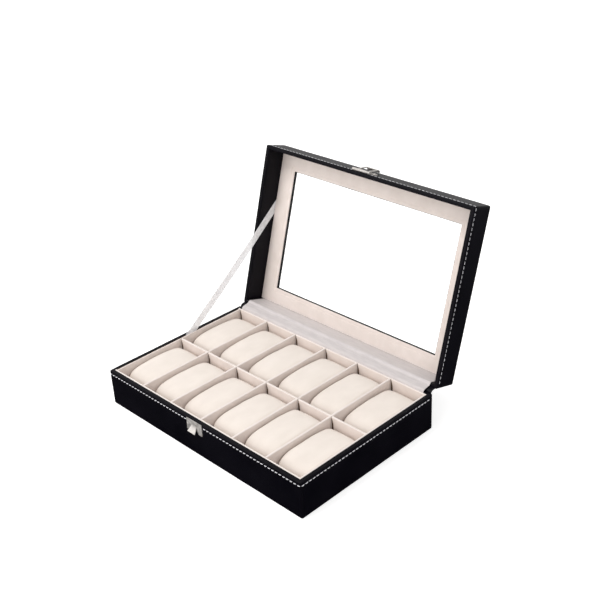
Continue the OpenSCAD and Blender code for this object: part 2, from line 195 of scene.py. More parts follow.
class Material:
    """A node material on one Principled shader, with short calls to add nodes."""

    def __init__(self, name, **constants):
        self.data = bpy.data.materials.new(name)
        self.data.use_nodes = True
        self.tree = self.data.node_tree
        self.shader = self.tree.nodes["Principled BSDF"]
        self.set(**constants)
        self.place = self.add("ShaderNodeTexCoord").outputs["Object"]

    def set(self, **inputs):
        for name, value in inputs.items():
            self.feed(self.shader.inputs[name.replace("_", " ")], value)

    def feed(self, socket, value):
        if isinstance(value, bpy.types.NodeSocket):
            self.tree.links.new(value, socket)
        elif isinstance(value, tuple) and len(value) == 3 and socket.type == "RGBA":
            socket.default_value = (*value, 1)
        else:
            socket.default_value = value

    def add(self, kind, inputs=(), **settings):
        node = self.tree.nodes.new(kind)
        for name, value in settings.items():
            setattr(node, name, value)
        for name, value in dict(inputs).items():
            self.feed(node.inputs[name], value)
        return node

    def scaled(self, *scale):
        mapping = self.add("ShaderNodeMapping", {"Vector": self.place, "Scale": scale})
        return mapping.outputs["Vector"]

    def noise(self, size, detail=2.0, stretch=(1, 1, 1), rough=0.5):
        """Noise whose features are about size metres across, as a factor."""
        vector = self.scaled(*(part / size for part in stretch))
        inputs = {"Vector": vector, "Scale": 1, "Detail": detail, "Roughness": rough}
        return self.add("ShaderNodeTexNoise", inputs).outputs["Fac"]

    def span(self, factor, low, high, start=0.3, stop=0.7):
        """A factor drawn out over another range."""
        inputs = {0: factor, 1: start, 2: stop, 3: low, 4: high}
        return self.add("ShaderNodeMapRange", inputs).outputs[0]

    def blend(self, factor, low, high):
        node = self.add("ShaderNodeMix", data_type="RGBA")
        self.feed(node.inputs[0], factor)
        self.feed(node.inputs[6], low)
        self.feed(node.inputs[7], high)
        return node.outputs[2]

    def math(self, operation, one, other):
        return self.add(
            "ShaderNodeMath", {0: one, 1: other}, operation=operation
        ).outputs[0]

    def bump(self, height, depth, strength=1.0, under=None):
        inputs = {"Height": height, "Distance": depth, "Strength": strength}
        if under is not None:
            inputs["Normal"] = under
        return self.add("ShaderNodeBump", inputs).outputs["Normal"]


def leather_material(name, dark, light, rough):
    skin = Material(name, Specular_IOR_Level=0.1)
    pebble = skin.add(
        "ShaderNodeTexVoronoi",
        {"Vector": skin.scaled(1 / MM, 1 / MM, 1 / MM), "Scale": 0.95, "Randomness": 1},
        feature="DISTANCE_TO_EDGE",
    ).outputs["Distance"]
    crease = skin.span(pebble, 0, 1, 0.0, 0.16)
    cloud = skin.noise(40 * MM, 3)
    pores = skin.noise(0.25 * MM, 2)
    skin.set(
        Base_Color=skin.blend(skin.span(cloud, 0, 1), dark, light),
        Roughness=skin.math(
            "ADD", skin.span(crease, rough + 0.08, rough, 0, 1), skin.span(cloud, 0, 0.07)
        ),
        Normal=skin.bump(crease, 0.05 * MM, 0.5, skin.bump(pores, 0.02 * MM, 0.4)),
    )
    return skin.data


def velour_material(name, dark, light, sheen, tint, top_highlight=0.0):
    """Brushed velour. The last argument paints a highlight: a paler colour along the top edges of
    the base's cards, for the light falling on them.
    """
    pile = Material(
        name,
        Roughness=0.92,
        Specular_IOR_Level=0.1,
        Sheen_Weight=sheen,
        Sheen_Roughness=0.45,
        Sheen_Tint=tint,
    )
    brushed = pile.noise(14 * MM, 3, (1, 0.6, 1))
    nap = pile.noise(0.35 * MM, 2)
    tone = pile.math("ADD", pile.span(brushed, 0, 0.7), pile.span(nap, 0, 0.3))
    colour = pile.blend(tone, dark, light)
    # Painted highlight: the cards' top edges turn paler, standing in for the light that falls on
    # them.
    if top_highlight:
        level = pile.add("ShaderNodeSeparateXYZ", {0: pile.place}).outputs["Z"]
        above = pile.span(level, 0, top_highlight, DIVIDER_Z - 0.8 * MM, BASE_H)
        under = pile.span(level, 1, 0, BASE_H + 1 * MM, BASE_H + 2 * MM)
        highlight_colour = tuple(part**0.5 for part in light)
        colour = pile.blend(pile.math("MULTIPLY", above, under), colour, highlight_colour)
    pile.set(
        Base_Color=colour,
        Normal=pile.bump(nap, 0.12 * MM, 0.35),
    )
    return pile.data


def satin_material(name, dark, light, along, rough, sheer=0.0):
    """Woven satin: floats run along one axis, with faint slubs. Sheer cloth lets light by."""
    cloth = Material(name, Specular_IOR_Level=0.45, Anisotropic=0.5, Sheen_Weight=0.15)
    floats = cloth.noise(0.3 * MM, 1, along)
    slubs = cloth.noise(3 * MM, 3, tuple(part**0.5 for part in along))
    cloth.set(
        Base_Color=cloth.blend(cloth.span(slubs, 0, 1), dark, light),
        Roughness=cloth.span(floats, rough - 0.04, rough + 0.1),
        Normal=cloth.bump(floats, 0.04 * MM, 0.5),
    )
    if sheer:
        cloth.set(Alpha=cloth.span(floats, 1 - 1.3 * sheer, 1 - 0.7 * sheer))
    return cloth.data


def nickel_material():
    metal = Material("nickel")
    scratches = metal.noise(0.5 * MM, 2, (0.15, 1, 1))
    smudges = metal.noise(5 * MM, 3)
    metal.set(
        Base_Color=metal.blend(
            metal.span(smudges, 0, 1), (0.50, 0.475, 0.45), (0.66, 0.635, 0.61)
        ),
        Metallic=metal.span(smudges, 0.75, 0.5),
        Roughness=metal.math(
            "ADD", metal.span(scratches, 0.32, 0.42), metal.span(smudges, 0, 0.1)
        ),
        Normal=metal.bump(scratches, 0.01 * MM, 0.3),
    )
    return metal.data


def glass_material():
    """Clear flat glass: a mirror by its Fresnel share, and see-through elsewhere."""
    pane = Material("window_glass", Base_Color=(0.9, 0.95, 0.95), Metallic=1.0)
    facing = pane.add("ShaderNodeLayerWeight", {"Blend": 0.5}).outputs["Facing"]
    share = pane.math("MULTIPLY", pane.math("POWER", facing, 4), 0.8)
    film = pane.noise(18 * MM, 4)
    pane.set(
        Roughness=pane.span(film, 0.01, 0.05),
        Alpha=pane.math("ADD", share, pane.span(film, 0.015, 0.03)),
    )
    return pane.data


def felt_material():
    felt = Material("underside_felt", Roughness=0.95, Specular_IOR_Level=0.1)
    fibres = felt.noise(0.4 * MM, 4, (1, 0.5, 1))
    felt.set(
        Base_Color=felt.blend(
            felt.span(fibres, 0, 1), (0.012, 0.012, 0.014), (0.045, 0.045, 0.05)
        ),
        Normal=felt.bump(fibres, 0.2 * MM, 0.6),
    )
    return felt.data


def board_material(name, dark, light):
    board = Material(name, Roughness=0.85)
    fibres = board.noise(0.8 * MM, 5)
    flecks = board.noise(5 * MM, 2)
    board.set(
        Base_Color=board.blend(board.math("MULTIPLY", fibres, flecks), dark, light),
        Normal=board.bump(fibres, 0.1 * MM, 0.5),
    )
    return board.data


def thread_material():
    thread = Material("thread", Roughness=0.55, Sheen_Weight=0.3)
    twist = thread.noise(0.25 * MM, 1, (1, 1, 0.5))
    thread.set(
        Base_Color=thread.blend(
            thread.span(twist, 0, 1), (0.62, 0.62, 0.66), (0.88, 0.88, 0.92)
        ),
        Normal=thread.bump(twist, 0.06 * MM, 0.5),
    )
    return thread.data


# ---------------------------------------------------------------- meshes


def solid(name, points, faces, sharp=40):
    mesh = bpy.data.meshes.new(name)
    mesh.from_pydata([tuple(point) for point in points], [], faces)
    shell = bmesh.new()
    shell.from_mesh(mesh)
    bmesh.ops.recalc_face_normals(shell, faces=shell.faces)
    shell.to_mesh(mesh)
    shell.free()
    mesh.polygons.foreach_set("use_smooth", [True] * len(mesh.polygons))
    mesh.set_sharp_from_angle(angle=math.radians(sharp))
    piece = bpy.data.objects.new(name, mesh)
    scene.collection.objects.link(piece)
    return piece


def bridge(rows, count, closed):
    """Quads between neighbouring rows of count points."""
    faces = []
    for row in range(rows if closed else rows - 1):
        one = row * count
        other = (row + 1) % rows * count
        for i in range(count):
            k = (i + 1) % count
            faces.append((one + i, one + k, other + k, other + i))
    return faces


def loft(name, loops, closed=False, sharp=40):
    """A closed mesh through loops of equally many points, capped unless it runs round."""
    count = len(loops[0])
    faces = bridge(len(loops), count, closed)
    if not closed:
        last = (len(loops) - 1) * count
        faces.append(tuple(range(count)))
        faces.append(tuple(range(last, last + count)))
    return solid(name, np.concatenate(loops), faces, sharp)


def ripple(piece, height, size, seed=0.0):
    """Moves a mesh's points a little along their normals, in soft waves."""
    shift = Vector((seed, 0, 0))
    mesh = piece.data
    normals = [vertex.normal.copy() for vertex in mesh.vertices]
    for vertex, normal in zip(mesh.vertices, normals):
        vertex.co += normal * height * noise.noise(vertex.co / size + shift)


def arc(centre, radius, start, stop, steps):
    """Points round a centre, with angles in degrees."""
    return [
        (
            centre[0] + radius * math.cos(math.radians(angle)),
            centre[1] + radius * math.sin(math.radians(angle)),
        )
        for angle in np.linspace(start, stop, steps + 1)
    ]


def spread(start, stop, step):
    """Even stations from start to stop, ends left out."""
    count = max(1, round(abs(stop - start) / step))
    return [start + (stop - start) * i / count for i in range(1, count)]


SEAM_AT = 0.4 * MM
SEAM_HALF = 0.3 * MM


def side_stations(half):
    """Stations along a straight side, close together at its seams."""
    near = [0, 0.2, 0.4, 0.6, 0.8, 1.2, 2, 4]
    ends = [half - part * MM for part in near]
    middle = spread(-half + 4 * MM, half - 4 * MM, 5 * MM)
    both = [*ends, *(-end for end in ends), *middle]
    return np.array(sorted(both)) / half


STATIONS_X = side_stations(HALF_W - CORNER_R)
STATIONS_Y = side_stations(HALF_D - CORNER_R)


def ring(half_x, half_y, centre_y, radius, z):
    """A rounded rectangle, anticlockwise from the front left, at one height."""
    x = half_x - radius
    y = half_y - radius
    points = [(part * x, centre_y - half_y) for part in STATIONS_X]
    corners = [
        ((x, centre_y - y), -90),
        ((x, centre_y + y), 0),
        ((-x, centre_y + y), 90),
        ((-x, centre_y - y), 180),
    ]
    sides = [
        [(half_x, centre_y + part * y) for part in STATIONS_Y],
        [(-part * x, centre_y + half_y) for part in STATIONS_X],
        [(-half_x, centre_y - part * y) for part in STATIONS_Y],
        [],
    ]
    for (centre, start), side in zip(corners, sides):
        points += arc(centre, radius, start, start + 90, 5)[1:-1]
        points += side
    return np.array([(px, py, z) for px, py in points])


def outer_rings(profile):
    """Rings of the box's outline for (inset, height) points."""
    return [
        ring(HALF_W - inset, HALF_D - inset, 0, max(CORNER_R - inset, LEAST_R), z)
        for inset, z in profile
    ]


def groove(z):
    """The stitch groove of an upright wall, from below up."""
    shape = [(0, -0.9), (0.08, -0.5), (0.22, -0.2), (0.22, 0.2), (0.08, 0.5), (0, 0.9)]
    return [(inset * MM, z + rise * MM) for inset, rise in shape]


def sink_seams(loops, low_z, high_z):
    """Presses the overlap seams into both side walls, near the front and back corners."""
    for loop in loops:
        for point in loop:
            if abs(point[0]) < HALF_W - LEATHER_T / 2 or not low_z < point[2] < high_z:
                continue
            off = (HALF_D - CORNER_R - SEAM_AT - abs(point[1])) / SEAM_HALF
            point[0] -= math.copysign(0.35 * MM * math.exp(-off * off), point[0])


def cut_recess(loops, low_z, high_z):
    """Lets the hinge strip into the back wall."""
    floor_y = HALF_D - LEATHER_T + 0.05 * MM
    for loop in loops:
        for point in loop:
            inside = abs(point[0]) < HINGE_HALF + LEAST_R and low_z <= point[2] <= high_z
            if inside and point[1] > floor_y:
                point[1] = floor_y


def turned(loops, matrix):
    return [np.array([matrix @ Vector(point) for point in loop]) for loop in loops]


def finish_piece(piece, material, body=None, nodes=()):
    """Gives a piece its material, body and the CAD nodes it stands for."""
    piece.data.materials.clear()
    piece.data.materials.append(material)
    if body is not None:
        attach(piece, body)
    if nodes:
        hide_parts(*nodes)
    return piece


# ---------------------------------------------------------------- leather skins


def build_base_skin(leather):
    foot_r = 0.7 * MM
    rim_r = 1 * MM
    lip_r = 0.4 * MM
    inner = HALF_W - BOARD_IN.x
    stitch_z = BASE_H - STITCH_DROP
    recess_z = BASE_H - HINGE_LAP
    profile = [(3 * MM, LEATHER_T), (3 * MM, 0.1 * MM)]
    profile += arc((foot_r, foot_r), foot_r, 270, 180, 4)
    heights = spread(foot_r, recess_z, 5 * MM)
    heights += [recess_z - 0.05 * MM, recess_z + 0.02 * MM, recess_z + 3 * MM]
    profile += [(0, z) for z in heights]
    profile += groove(stitch_z)
    profile += arc((rim_r, BASE_H - rim_r), rim_r, 180, 90, 6)
    profile += [(inner / 2, BASE_H)]
    profile += arc((inner - lip_r, BASE_H - lip_r), lip_r, 90, 0, 3)
    under = BASE_H - LEATHER_T
    profile += [(inner, under), (LEATHER_T, under), (LEATHER_T, LEATHER_T)]
    loops = outer_rings(profile)
    sink_seams(loops, 0.5 * MM, BASE_H - rim_r / 2)
    cut_recess(loops, recess_z, BASE_H)
    skin = loft("base_skin", loops, closed=True)
    ripple(skin, 0.12 * MM, 35 * MM)
    return finish_piece(skin, leather, "base", ["base_leather"])


def build_lid_skin(leather):
    rim_r = 1 * MM
    lip_r = 0.6 * MM
    edge_r = 1.8 * MM
    board_in = HALF_W - LID_BOARD_IN.x
    inner = board_in + LID_TURN_T
    board_top = LID_TOP_Z - LEATHER_T
    stitch_z = RIM_Z + LID_STITCH_DROP
    recess_z = RIM_Z + HINGE_LAP
    profile = [(inner, z) for z in [GLASS_LOW.z, *spread(GLASS_LOW.z, RIM_Z, 4 * MM)]]
    profile += arc((inner - lip_r, RIM_Z + lip_r), lip_r, 0, -90, 3)
    profile += [(inner / 2, RIM_Z)]
    profile += arc((rim_r, RIM_Z + rim_r), rim_r, 270, 180, 6)
    profile += groove(stitch_z)
    heights = [recess_z - 3 * MM, recess_z - 0.02 * MM, recess_z + 0.05 * MM]
    heights += spread(recess_z, LID_TOP_Z - edge_r, 4 * MM)
    profile += [(0, z) for z in heights]
    profile += arc((edge_r, LID_TOP_Z - edge_r), edge_r, 180, 90, 6)
    loops = outer_rings(profile)
    # Over the top, to the window's rounded edge and down it to the glass
    opening_r = 0.7 * MM
    wide, deep = WINDOW_HALF
    start = (HALF_W - edge_r, HALF_D - edge_r, 0)
    stop = (wide + opening_r, deep + opening_r, WINDOW_Y)
    for part in (0.25, 0.5, 0.75):
        half_x, half_y, y = (one + (two - one) * part for one, two in zip(start, stop))
        loops.append(ring(half_x, half_y, y, LEAST_R, LID_TOP_Z))
    for out, z in arc((opening_r, LID_TOP_Z - opening_r), opening_r, 90, 180, 4):
        loops.append(ring(wide + out, deep + out, WINDOW_Y, LEAST_R, z))
    lap = GLASS_HIGH.x - wide
    turn_z = GLASS_HIGH.z + WINDOW_TURN_T
    behind = [(0, GLASS_HIGH.z), (lap, GLASS_HIGH.z), (lap, turn_z)]
    for out, z in [*behind, (LEATHER_T, turn_z), (LEATHER_T, board_top)]:
        loops.append(ring(wide + out, deep + out, WINDOW_Y, LEAST_R, z))
    # Back inside, over the boards
    inside = arc((edge_r, LID_TOP_Z - edge_r), edge_r - LEATHER_T, 90, 180, 4)
    inside += [(LEATHER_T, RIM_Z + LEATHER_T), (board_in, RIM_Z + LEATHER_T)]
    inside += [(board_in, GLASS_LOW.z)]
    loops += outer_rings(inside)
    sink_seams(loops, RIM_Z + rim_r / 2, LID_TOP_Z - edge_r / 2)
    cut_recess(loops, RIM_Z, recess_z)
    skin = loft("lid_skin", turned(loops, OPEN), closed=True)
    ripple(skin, 0.12 * MM, 35 * MM, 7.3)
    return finish_piece(skin, leather, "lid", ["lid_leather"])


# ---------------------------------------------------------------- stitching

STITCH_PITCH = 5 * MM
STITCH_HALF = 1.75 * MM
# Stations along a stitch, from -1 to 1
STITCH_PARTS = (-1, -0.92, -0.7, -0.35, 0, 0.35, 0.7, 0.92, 1)
# The lid is sewn with a finer thread than the base
BASE_THREAD_R = 0.42 * MM
LID_THREAD_R = 0.24 * MM


def wall_point(s):
    """Place and outward direction at s metres round the wall from the back left corner."""
    side = 2 * (HALF_D - CORNER_R)
    front = 2 * (HALF_W - CORNER_R)
    turn = CORNER_R * math.pi / 2
    inner_x = HALF_W - CORNER_R
    inner_y = HALF_D - CORNER_R
    if s < side:
        return (-HALF_W, inner_y - s), (-1, 0)
    s -= side
    if s < turn:
        angle = math.pi + s / CORNER_R
        out = (math.cos(angle), math.sin(angle))
        return (-inner_x + CORNER_R * out[0], -inner_y + CORNER_R * out[1]), out
    s -= turn
    if s < front:
        return (-inner_x + s, -HALF_D), (0, -1)
    s -= front
    if s < turn:
        angle = 1.5 * math.pi + s / CORNER_R
        out = (math.cos(angle), math.sin(angle))
        return (inner_x + CORNER_R * out[0], -inner_y + CORNER_R * out[1]), out
    return (HALF_W, -inner_y + s - turn), (1, 0)


WALL_LENGTH = 4 * (HALF_D - CORNER_R) + 2 * (HALF_W - CORNER_R) + math.pi * CORNER_R


def back_point(s):
    """Place and outward direction at s metres along the hinge strip."""
    return (HINGE_HALF - s, HALF_D), (0, 1)


def stitch(points, faces, path, middle, z, slant, thread_r, matrix):
    """One stitch: a short thread whose ends dive into the leather."""
    sides = 8
    first = len(points)
    for part in STITCH_PARTS:
        place, out = path(middle + part * STITCH_HALF)
        rise = thread_r * (0.35 - 1.3 * part**4)
        radius = thread_r * (1 - 0.55 * part**6)
        level = z + slant * part
        for i in range(sides):
            angle = 2 * math.pi * i / sides
            off = rise + radius * math.cos(angle)
            up = level + radius * math.sin(angle)
            point = Vector((place[0] + out[0] * off, place[1] + out[1] * off, up))
            points.append(matrix @ point)
    rings = len(STITCH_PARTS)
    last = first + (rings - 1) * sides
    for face in bridge(rings, sides, False):
        faces.append(tuple(first + corner for corner in face))
    faces.append(tuple(range(first, first + sides)))
    faces.append(tuple(range(last, last + sides)))


def stitch_row(name, rows, thread_r):
    """Rows of stitches in one mesh. A row is (path, start, stop, z, matrix, skips)."""
    points = []
    faces = []
    for path, start, stop, z, matrix, skips in rows:
        count = int((stop - start) / STITCH_PITCH)
        spare = (stop - start - count * STITCH_PITCH) / 2
        for i in range(count):
            middle = start + spare + (i + 0.5) * STITCH_PITCH
            place, _ = path(middle)
            if any(low < place[0] < high and place[1] < 0 for low, high in skips):
                continue
            middle += 0.25 * MM * noise.noise(Vector((i * 1.7, z * 900, 0)))
            slant = (0.16 + 0.1 * noise.noise(Vector((i * 2.3, 5, 0)))) * MM
            stitch(points, faces, path, middle, z, slant, thread_r, matrix)
    return solid(name, points, faces, 60)


def build_stitches(thread):
    edge = 3 * MM
    strip_edge = 2.5 * MM
    clasp_half = 13 * MM
    clasp = [(CLASP_X - clasp_half, CLASP_X + clasp_half)]
    identity = Matrix.Identity(4)
    base_z = BASE_H - STITCH_DROP
    lid_z = RIM_Z + LID_STITCH_DROP
    end = WALL_LENGTH - edge
    strip_end = 2 * HINGE_HALF - edge
    low_z = BASE_H - HINGE_LAP + strip_edge
    high_z = RIM_Z + HINGE_LAP - strip_edge
    base_rows = [(wall_point, edge, end, base_z, identity, clasp)]
    base_rows.append((back_point, edge, strip_end, low_z, identity, []))
    lid_rows = [(wall_point, edge, end, lid_z, OPEN, clasp)]
    lid_rows.append((back_point, edge, strip_end, high_z, OPEN, []))
    base_stitches = stitch_row("base_stitches", base_rows, BASE_THREAD_R)
    finish_piece(base_stitches, thread, "base")
    lid_stitches = stitch_row("lid_stitches", lid_rows, LID_THREAD_R)
    finish_piece(lid_stitches, thread, "lid")


# ---------------------------------------------------------------- velour-covered cards

# How far the velour's pile stands over a card's top edge
PILE_T = 0.1 * MM


def card_section(thickness, low, high, edge_r):
    """(across, up) points of an upright card with a rounded top edge."""
    half = thickness / 2
    heights = [low, *spread(low, high - edge_r, 5 * MM)]
    section = [(half, z) for z in heights]
    section += arc((half - edge_r, high - edge_r), edge_r, 0, 90, 4)
    section += arc((-half + edge_r, high - edge_r), edge_r, 90, 180, 4)
    return section + [(-half, z) for z in reversed(heights)]


def upright_card(name, along_x, start, stop, middle, section_at, velour, nodes):
    """An upright card from start to stop along X or Y, on the line middle."""
    marks = section_at["marks"]
    stations = sorted([start, stop, *spread(start, stop, 4 * MM), *marks])
    loops = []
    for station in stations:
        loop = []
        for across, z in section_at["section"](station):
            across += middle
            loop.append((station, across, z) if along_x else (across, station, z))
        loops.append(np.array(loop))
    card = loft(name, loops)
    ripple(card, 0.14 * MM, 12 * MM, middle * 90)
    return finish_piece(card, velour, "base", nodes)


def plain_section(section):
    return {"marks": [], "section": lambda station: section}


def build_linings(velour):
    for node in ("lining_front", "lining_back", "lining_left", "lining_right"):
        low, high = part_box(node)
        along_x = node in ("lining_front", "lining_back")
        run, across = (0, 1) if along_x else (1, 0)
        thickness = high[across] - low[across]
        middle = (low[across] + high[across]) / 2
        section = plain_section(card_section(thickness, CELL_Z, high.z + PILE_T, 0.8 * MM))
        ends = (low[run], high[run])
        upright_card(node + "_card", along_x, *ends, middle, section, velour, [node])


def notched(section, half_gap, lap_z):
    """A card's section, cut back above lap_z where the long divider crosses it."""
    edge = 0.03 * MM
    marks = [side * place for side in (-1, 1) for place in (half_gap - edge, half_gap)]

    def at(station):
        if abs(station) > half_gap - edge / 2:
            return section
        return [(across, min(z, lap_z)) for across, z in section]

    return {"marks": marks, "section": at}


# The open slots beside the cards: narrow at the top, wider below
SLOT_TOP_W = 0.7 * MM
SLOT_LOW_W = 3 * MM
SLOT_DROP = 8 * MM
SLOT_DEEP = 1.3 * MM
SLOT_FOOT = 2 * MM
# How much lower than its slot, and how far behind the face, a slot's dark sheet of painted shade
# stands
SLOT_SHADE_DROP = 0.6 * MM
SLOT_SHADE_IN = 0.6 * MM


def slot_prism(x, y0, y1, top, start):
    """Two loops of a slot to the right of x, between two depths."""
    foot = CELL_Z + SLOT_FOOT
    outline = [(start, top), (SLOT_TOP_W, top), (SLOT_LOW_W, top - SLOT_DROP)]
    outline += [(SLOT_LOW_W, foot), (start, foot)]
    return [[(x + dx, y, z) for dx, z in outline] for y in (y0, y1)]


def prisms(name, pairs):
    """Several closed prisms in one mesh, each between two loops of equally many points."""
    points = []
    faces = []
    for one, other in pairs:
        first = len(points)
        count = len(one)
        caps = [range(count), range(count, 2 * count)]
        for face in [*bridge(2, count, False), *caps]:
            faces.append(tuple(first + corner for corner in face))
        points += [*one, *other]
    return solid(name, points, faces)


def cut(piece, cutter):
    """Cuts one mesh out of another and drops the cutter."""
    knife = piece.modifiers.new("slots", "BOOLEAN")
    knife.object = cutter
    knife.solver = "EXACT"
    graph = bpy.context.evaluated_depsgraph_get()
    mesh = bpy.data.meshes.new_from_object(piece.evaluated_get(graph))
    piece.modifiers.clear()
    piece.data = mesh
    mesh.set_sharp_from_angle(angle=math.radians(40))
    bpy.data.objects.remove(cutter)


def lap_prism(box, lap_z):
    """The room for the lower half of a cross divider in the long divider."""
    low, high = box
    foot = CELL_Z - MM
    reach = 5 * MM
    corners = [(low.x, foot), (high.x, foot), (high.x, lap_z), (low.x, lap_z)]
    return [[(x, y, z) for x, z in corners] for y in (-reach, reach)]


def build_slots(board, lap_z):
    """Laps in the long divider, and slots at the left end of each cell's back wall, each
    with a dark board-coloured sheet in it that paints the shade in the slot."""
    boxes = [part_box(f"cross_divider_{i}") for i in range(1, 6)]
    columns = [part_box("lining_left")[1].x, *(high.x for _, high in boxes)]
    laps = prisms("laps", [lap_prism(box, lap_z) for box in boxes])
    cut(bpy.data.objects["long_divider_card"], laps)
    shade_sheets = []
    for node in ("long_divider", "lining_back"):
        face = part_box(node)[0].y
        top = DIVIDER_Z + 0.5 * MM
        deep = face + SLOT_DEEP
        cutters = [slot_prism(x, face - MM, deep, top, 0.05 * MM) for x in columns]
        cut(bpy.data.objects[node + "_card"], prisms(node + "_slots", cutters))
        # Dark sheets in the slots: painted shade, board-coloured but darker, standing in for the
        # shadow deep in each slot.
        near = face + SLOT_SHADE_IN
        shade_top = top - SLOT_SHADE_DROP
        shade_sheets += [slot_prism(x, near, deep, shade_top, 0.06 * MM) for x in columns]
    finish_piece(prisms("slot_shade_sheets", shade_sheets), board, "base")


def build_dividers(velour, lap_z):
    crosses = [f"cross_divider_{i}" for i in range(1, 6)]
    boxes = [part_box(node) for node in crosses]
    places = [(low.x + high.x) / 2 for low, high in boxes]
    low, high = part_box("long_divider")
    thickness = high.y - low.y
    section = card_section(thickness, CELL_Z, DIVIDER_Z + PILE_T, 0.9 * MM)
    whole = plain_section(section)
    upright_card("long_divider_card", True, low.x, high.x, 0, whole, velour, ["long_divider"])
    lapped = notched(section, thickness / 2, lap_z)
    for node, place, (low, high) in zip(crosses, places, boxes):
        upright_card(node + "_card", False, low.y, high.y, place, lapped, velour, [node])


def slab(name, low, high, edge_r, material, slot, node, body, height):
    """A flat sheet or card lying down, with rounded edges and a soft surface."""
    stations = [low.x, low.x + edge_r, *spread(low.x, high.x, 5 * MM), high.x - edge_r]
    stations.append(high.x)
    loops = []
    for x in sorted(stations):
        near_end = min(x - low.x, high.x - x) < edge_r / 2
        shrink = 0.35 * edge_r if near_end else 0
        y0 = low.y + shrink
        y1 = high.y - shrink
        z0 = low.z + shrink
        z1 = high.z - shrink
        across = [y0 + edge_r, *spread(y0 + edge_r, y1 - edge_r, 5 * MM), y1 - edge_r]
        loop = [(x, y, z0) for y in across]
        loop += [(x, y1, z0 + edge_r), (x, y1, z1 - edge_r)]
        loop += [(x, y, z1) for y in reversed(across)]
        loop += [(x, y0, z1 - edge_r), (x, y0, z0 + edge_r)]
        loops.append(np.array(loop))
    piece = loft(name, loops, sharp=60)
    ripple(piece, height, 15 * MM)
    return finish_piece(piece, material, body, [node])


def build_panel(velour):
    """The velour-covered panel inside the lid, with a pressed line round the window."""
    outer = (PANEL_HIGH.x, PANEL_HIGH.y)
    # The panel's opening is a little larger than the window's
    opening = (WINDOW_HALF[0] + 1.4 * MM, WINDOW_HALF[1] + 0.8 * MM)
    face = PANEL_LOW.z
    back = PANEL_HIGH.z
    edge_r = 0.7 * MM
    border = 4.5 * MM

    def outside(inset, z):
        return ring(outer[0] - inset, outer[1] - inset, 0, LEAST_R, z)

    def around(out, z):
        return ring(opening[0] + out, opening[1] + out, WINDOW_Y, LEAST_R, z)

    loops = [outside(0, back)]
    for inset, z in arc((edge_r, face + edge_r), edge_r, 180, 270, 4):
        loops.append(outside(inset, z))
    loops += [around(border + out, face) for out in (8 * MM, 4 * MM, 1 * MM)]
    pressed = [(0.4, 0.03), (0.1, 0.35), (-0.3, 0.5), (-0.7, 0.3), (-1.2, 0.25)]
    loops += [around(border + out * MM, face + z * MM) for out, z in pressed]
    for out, z in arc((edge_r, face + 0.25 * MM + edge_r), edge_r, 270, 180, 4):
        loops.append(around(out, z))
    loops += [around(0, back), around(border, back)]
    panel = loft("lid_panel_card", turned(loops, OPEN), closed=True)
    ripple(panel, 0.12 * MM, 14 * MM, 3.1)
    finish_piece(panel, velour, "lid", ["lid_inner_panel"])


# ---------------------------------------------------------------- strips across the hinge


def smooth_path(points, step):
    """A Catmull-Rom path through (y, z) points, with stations about step apart."""
    p = [2 * np.array(points[0]) - np.array(points[1])]
    p += [np.array(point) for point in points]
    p.append(2 * p[-1] - p[-2])
    path = []
    for i in range(1, len(p) - 2):
        count = max(1, round(np.linalg.norm(p[i + 1] - p[i]) / step))
        for t in np.arange(count) / count:
            path.append(
                0.5
                * (
                    2 * p[i]
                    + (p[i + 1] - p[i - 1]) * t
                    + (2 * p[i - 1] - 5 * p[i] + 4 * p[i + 1] - p[i + 2]) * t**2
                    + (3 * p[i] - p[i - 1] - 3 * p[i + 1] + p[i + 2]) * t**3
                )
            )
    path.append(p[-2])
    return np.array(path)


def strip(name, path, across, thickness, offset):
    """A closed strip of cloth or leather: path is in (y, z), across holds X stations.
    offset(x, part) moves its middle along the normal; part runs from 0 to 1."""
    slope = np.gradient(path, axis=0)
    normal = np.stack([-slope[:, 1], slope[:, 0]], 1)
    normal /= np.linalg.norm(normal, axis=1)[:, None]
    half = thickness / 2
    loops = []
    for i, (point, out) in enumerate(zip(path, normal)):
        part = i / (len(path) - 1)
        rows = [[], []]
        for j, x in enumerate(across):
            at_edge = j in (0, len(across) - 1)
            lift = offset(x, part)
            for row, side in zip(rows, (1, -1)):
                y, z = point + out * (lift + side * half * (0.55 if at_edge else 1))
                row.append((x, y, z))
        loops.append(np.array(rows[0] + rows[1][::-1]))
    return loft(name, loops, sharp=70)


def across_stations(half, step, edge):
    return [-half, -half + edge, *spread(-half + edge, half - edge, step), half - edge, half]


def opened(y, z):
    point = OPEN @ Vector((0, y, z))
    return point.y, point.z


def build_hinge_leather(leather):
    thickness = 0.7 * MM
    y = HALF_D - thickness / 2
    gap = 0.1 * MM
    points = [(y, BASE_H - HINGE_LAP + gap), (y, BASE_H - 6 * MM), (y, BASE_H)]
    points += [(y + 0.6 * MM, BASE_H + 1.4 * MM), (y + 2.6 * MM, BASE_H + 2.6 * MM)]
    points += [opened(y, RIM_Z - 0.5 * MM), opened(y, RIM_Z + 2 * MM)]
    points += [opened(y, RIM_Z + 7 * MM), opened(y, RIM_Z + HINGE_LAP - gap)]
    path = smooth_path(points, 0.7 * MM)

    def folds(x, part):
        bend = math.exp(-(((part - 0.5) / 0.14) ** 2))
        crease = math.sin(part * 95) * 0.10 * MM * bend
        return crease + 0.12 * MM * bend * noise.noise(Vector((x * 60, part * 4, 0)))

    across = across_stations(HINGE_HALF, 5 * MM, 0.3 * MM)
    piece = strip("hinge_strip", path, across, thickness, folds)
    finish_piece(piece, leather, None, ["hinge_leather"])
    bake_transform(piece)


CLOTH_T = 0.3 * MM


